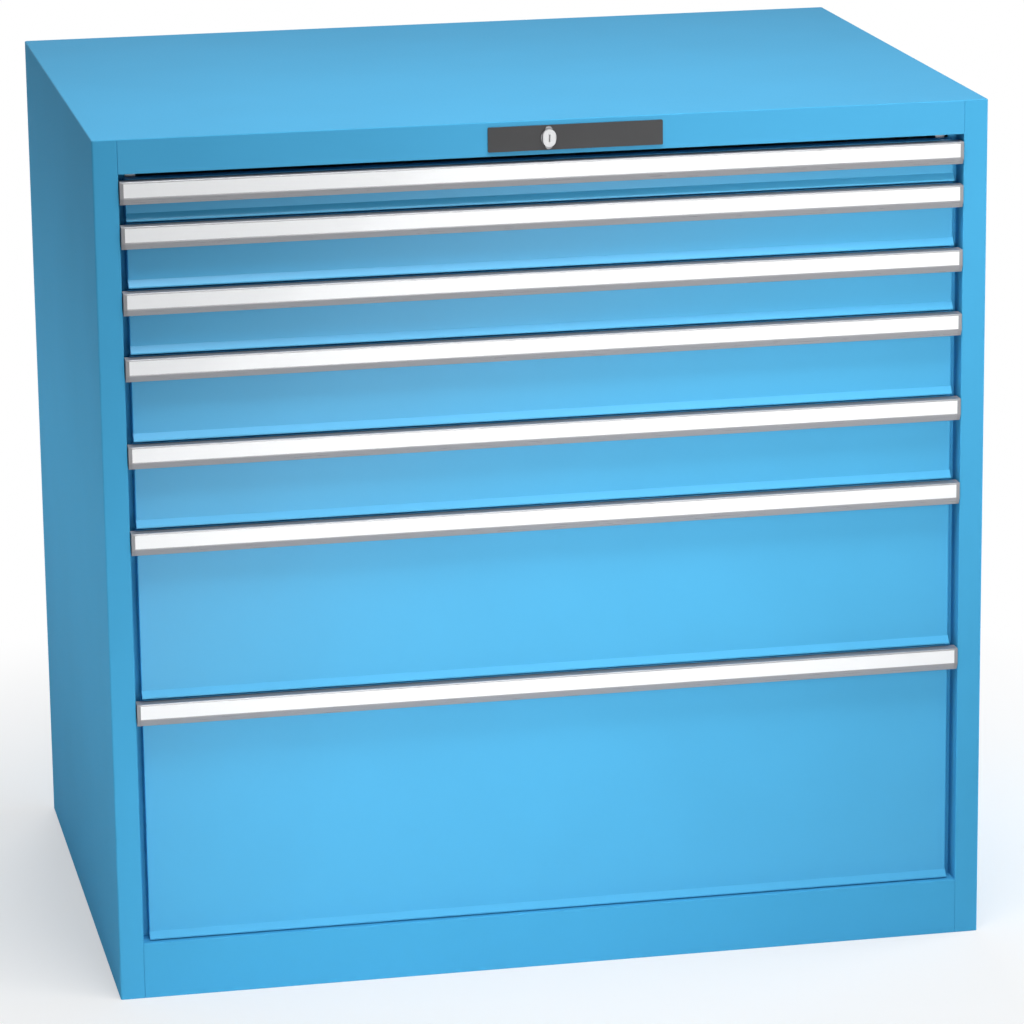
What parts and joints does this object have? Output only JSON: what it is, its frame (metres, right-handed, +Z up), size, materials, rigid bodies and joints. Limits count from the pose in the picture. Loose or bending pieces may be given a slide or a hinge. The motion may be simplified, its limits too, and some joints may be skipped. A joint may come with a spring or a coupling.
{
  "type": "modular drawer cabinet",
  "caption": "Steel workshop and laboratory drawer cabinet: a low wide housing with full-width drawers of graded heights, full-width grip handles, roller slides and a central lock.",
  "frame": {"origin": "middle of the housing's underside, on the floor", "axes": "+X to the right seen from the front, +Y to the back, +Z up; the drawers open along -Y"},
  "size_m": [1.023, 0.7318, 1],
  "materials": {
    "housing_paint": "fine satin powder coat, mid blue",
    "front_paint": "fine satin powder coat, light blue",
    "tray_paint": "light grey powder coat",
    "galvanised_steel": "zinc plated",
    "slide_steel": "zinc plated",
    "handle_aluminium": "satin anodised",
    "label_white": "white strip under a clear gloss cover",
    "cap_plastic": "moulded, fine grain",
    "dark_plastic": "moulded, fine grain",
    "lock_metal": "satin nickel"
  },
  "bodies": {
    "housing": {"left_side_panel": "housing_paint", "right_side_panel": "housing_paint", "back_panel": "housing_paint", "top_panel": "housing_paint", "base_panel": "housing_paint", "slotted_uprights": "galvanised_steel", "cabinet_rails": "galvanised_steel", "lock_cover": "dark_plastic", "lock_bezel": "lock_metal"},
    "drawer_1": {"drawer_1_tray": "tray_paint", "drawer_1_front": "front_paint", "drawer_1_handle": "handle_aluminium", "drawer_1_label_strip": "label_white", "drawer_1_end_caps": "cap_plastic", "drawer_1_rails": "slide_steel"},
    "carriage_1": {"carriage_1": "slide_steel"},
    "drawer_2": {"drawer_2_tray": "tray_paint", "drawer_2_front": "front_paint", "drawer_2_handle": "handle_aluminium", "drawer_2_label_strip": "label_white", "drawer_2_end_caps": "cap_plastic", "drawer_2_rails": "slide_steel"},
    "carriage_2": {"carriage_2": "slide_steel"},
    "drawer_3": {"drawer_3_tray": "tray_paint", "drawer_3_front": "front_paint", "drawer_3_handle": "handle_aluminium", "drawer_3_label_strip": "label_white", "drawer_3_end_caps": "cap_plastic", "drawer_3_rails": "slide_steel"},
    "carriage_3": {"carriage_3": "slide_steel"},
    "drawer_4": {"drawer_4_tray": "tray_paint", "drawer_4_front": "front_paint", "drawer_4_handle": "handle_aluminium", "drawer_4_label_strip": "label_white", "drawer_4_end_caps": "cap_plastic", "drawer_4_rails": "slide_steel"},
    "carriage_4": {"carriage_4": "slide_steel"},
    "drawer_5": {"drawer_5_tray": "tray_paint", "drawer_5_front": "front_paint", "drawer_5_handle": "handle_aluminium", "drawer_5_label_strip": "label_white", "drawer_5_end_caps": "cap_plastic", "drawer_5_rails": "slide_steel"},
    "carriage_5": {"carriage_5": "slide_steel"},
    "drawer_6": {"drawer_6_tray": "tray_paint", "drawer_6_front": "front_paint", "drawer_6_handle": "handle_aluminium", "drawer_6_label_strip": "label_white", "drawer_6_end_caps": "cap_plastic", "drawer_6_rails": "slide_steel"},
    "carriage_6": {"carriage_6": "slide_steel"},
    "drawer_7": {"drawer_7_tray": "tray_paint", "drawer_7_front": "front_paint", "drawer_7_handle": "handle_aluminium", "drawer_7_label_strip": "label_white", "drawer_7_end_caps": "cap_plastic", "drawer_7_rails": "slide_steel"},
    "carriage_7": {"carriage_7": "slide_steel"},
    "lock_cylinder": {"lock_cylinder": "lock_metal"},
    "locking_bar": {"locking_bar": "galvanised_steel"}
  },
  "joints": [
    {"name": "drawer_1_slide", "type": "slide", "parent": "housing", "child": "drawer_1", "axis": [0, -1, 0], "range_m": [0, 0.64]},
    {"name": "carriage_1_slide", "type": "slide", "parent": "housing", "child": "carriage_1", "axis": [0, -1, 0], "range_m": [0, 0.32]},
    {"name": "drawer_2_slide", "type": "slide", "parent": "housing", "child": "drawer_2", "axis": [0, -1, 0], "range_m": [0, 0.64]},
    {"name": "carriage_2_slide", "type": "slide", "parent": "housing", "child": "carriage_2", "axis": [0, -1, 0], "range_m": [0, 0.32]},
    {"name": "drawer_3_slide", "type": "slide", "parent": "housing", "child": "drawer_3", "axis": [0, -1, 0], "range_m": [0, 0.64]},
    {"name": "carriage_3_slide", "type": "slide", "parent": "housing", "child": "carriage_3", "axis": [0, -1, 0], "range_m": [0, 0.32]},
    {"name": "drawer_4_slide", "type": "slide", "parent": "housing", "child": "drawer_4", "axis": [0, -1, 0], "range_m": [0, 0.64]},
    {"name": "carriage_4_slide", "type": "slide", "parent": "housing", "child": "carriage_4", "axis": [0, -1, 0], "range_m": [0, 0.32]},
    {"name": "drawer_5_slide", "type": "slide", "parent": "housing", "child": "drawer_5", "axis": [0, -1, 0], "range_m": [0, 0.64]},
    {"name": "carriage_5_slide", "type": "slide", "parent": "housing", "child": "carriage_5", "axis": [0, -1, 0], "range_m": [0, 0.32]},
    {"name": "drawer_6_slide", "type": "slide", "parent": "housing", "child": "drawer_6", "axis": [0, -1, 0], "range_m": [0, 0.64]},
    {"name": "carriage_6_slide", "type": "slide", "parent": "housing", "child": "carriage_6", "axis": [0, -1, 0], "range_m": [0, 0.32]},
    {"name": "drawer_7_slide", "type": "slide", "parent": "housing", "child": "drawer_7", "axis": [0, -1, 0], "range_m": [0, 0.64]},
    {"name": "carriage_7_slide", "type": "slide", "parent": "housing", "child": "carriage_7", "axis": [0, -1, 0], "range_m": [0, 0.32]},
    {"name": "lock_turn", "type": "hinge", "parent": "housing", "child": "lock_cylinder", "pos_m": [0, 0, 0.98], "axis": [0, 1, 0], "range_deg": [0, 90]},
    {"name": "locking_bar_slide", "type": "slide", "parent": "housing", "child": "locking_bar", "axis": [0, 0, -1], "range_m": [0, 0.007]}
  ],
  "couplings": [
    {"joint": "carriage_1_slide", "follows": "drawer_1_slide", "ratio": 0.5},
    {"joint": "carriage_2_slide", "follows": "drawer_2_slide", "ratio": 0.5},
    {"joint": "carriage_3_slide", "follows": "drawer_3_slide", "ratio": 0.5},
    {"joint": "carriage_4_slide", "follows": "drawer_4_slide", "ratio": 0.5},
    {"joint": "carriage_5_slide", "follows": "drawer_5_slide", "ratio": 0.5},
    {"joint": "carriage_6_slide", "follows": "drawer_6_slide", "ratio": 0.5},
    {"joint": "carriage_7_slide", "follows": "drawer_7_slide", "ratio": 0.5},
    {"joint": "lock_turn", "follows": "locking_bar_slide", "rad_per_m": 224.4}
  ]
}
